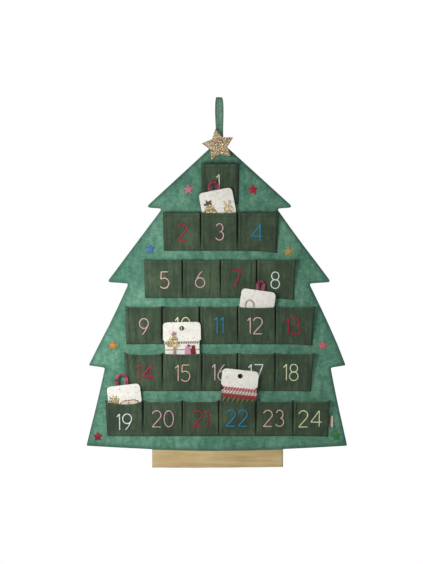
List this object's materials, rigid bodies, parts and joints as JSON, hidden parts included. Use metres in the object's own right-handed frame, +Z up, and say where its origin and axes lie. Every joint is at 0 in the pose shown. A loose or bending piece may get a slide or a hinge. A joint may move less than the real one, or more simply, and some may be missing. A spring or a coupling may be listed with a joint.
{
  "type": "christmas tree advent calendar",
  "caption": "Fabric wall-hanging Christmas tree with rows of numbered pockets, a strap loop, and gift cards that pull out of some pockets.",
  "frame": {"origin": "the hook's seat: the inside of the strap loop's top, midway through the panel's thickness", "axes": "+Z up, -Y out of the front, +X to the right seen from the front"},
  "size_m": [0.5336, 0.0253, 0.7582],
  "materials": {
    "velvet": "crushed velvet",
    "backing_cloth": "plain woven",
    "wadding": "felted",
    "twill": "twill",
    "strap": "velvet ribbon",
    "trunk_cloth": "gold linen",
    "glitter": "glitter",
    "felt": "felt",
    "label": "woven tape",
    "card": "matte, speckled",
    "elastic": "satin",
    "gold_clip": "glitter",
    "fabric_clip": "felt and satin",
    "pale_clip": "satin",
    "striped_cord": "twisted cord",
    "gold_cord": "twisted cord",
    "dark_red_cord": "twisted cord",
    "green_cord": "twisted cord",
    "thread_yellow": "satin stitch",
    "thread_red": "satin stitch",
    "thread_pink": "satin stitch",
    "thread_blue": "satin stitch",
    "thread_coral": "satin stitch",
    "thread_white": "satin stitch",
    "thread_peach": "satin stitch",
    "thread_mauve": "satin stitch",
    "thread_rose": "satin stitch"
  },
  "bodies": {
    "calendar": {"back_panel": "backing_cloth", "front_panel": "velvet", "hanging_loop": "strap", "numeral_01": "thread_yellow", "numeral_02": "thread_red", "numeral_03": "thread_pink", "numeral_04": "thread_blue", "numeral_05": "thread_coral", "numeral_06": "thread_pink", "numeral_07": "thread_red", "numeral_08": "thread_white", "numeral_09": "thread_pink", "numeral_10": "thread_yellow", "numeral_11": "thread_blue", "numeral_12": "thread_rose", "numeral_13": "thread_red", "numeral_14": "thread_red", "numeral_15": "thread_peach", "numeral_16": "thread_mauve", "numeral_17": "thread_white", "numeral_18": "thread_yellow", "numeral_19": "thread_white", "numeral_20": "thread_pink", "numeral_21": "thread_red", "numeral_22": "thread_blue", "numeral_23": "thread_coral", "numeral_24": "thread_yellow", "pocket_strip_1": "twill", "pocket_strip_2": "twill", "pocket_strip_3": "twill", "pocket_strip_4": "twill", "pocket_strip_5": "twill", "pocket_strip_6": "twill", "side_label": "label", "star_backing": "felt", "star_topper": "glitter", "trunk_cover": "trunk_cloth", "trunk_stiffener": "wadding", "wadding": "wadding"},
    "card_03": {"bow_clip_03": "gold_clip", "gift_card_03": "card", "glitter_clip_03": "gold_clip", "hair_tie_03": "elastic"},
    "card_12": {"gift_card_12": "card", "hair_tie_12": "elastic", "ring_clip_12": "gold_clip"},
    "card_15": {"gift_card_15": "card", "gold_band_15": "gold_cord", "present_clip_15": "fabric_clip", "striped_band_15": "striped_cord", "tree_clip_15": "gold_clip"},
    "card_19": {"crown_clip_19": "gold_clip", "gift_card_19": "card", "hair_ribbon_19": "elastic", "oval_clip_19": "pale_clip"},
    "card_22": {"dark_red_band_22": "dark_red_cord", "gift_card_22": "card", "gold_white_band_22": "gold_cord", "green_gold_band_22": "green_cord", "red_white_band_22": "striped_cord"}
  },
  "joints": [
    {"name": "card_03_slide", "type": "slide", "parent": "calendar", "child": "card_03", "axis": [-0.19, -0.0921, 0.9775], "range_m": [0, 0.078]},
    {"name": "card_12_slide", "type": "slide", "parent": "calendar", "child": "card_12", "axis": [0.1386, -0.0944, 0.9858], "range_m": [0, 0.078]},
    {"name": "card_15_slide", "type": "slide", "parent": "calendar", "child": "card_15", "axis": [-0.0174, -0.094, 0.9954], "range_m": [0, 0.078]},
    {"name": "card_19_slide", "type": "slide", "parent": "calendar", "child": "card_19", "axis": [-0.1126, -0.1015, 0.9884], "range_m": [0, 0.078]},
    {"name": "card_22_slide", "type": "slide", "parent": "calendar", "child": "card_22", "axis": [0.104, -0.1015, 0.9894], "range_m": [0, 0.078]}
  ]
}
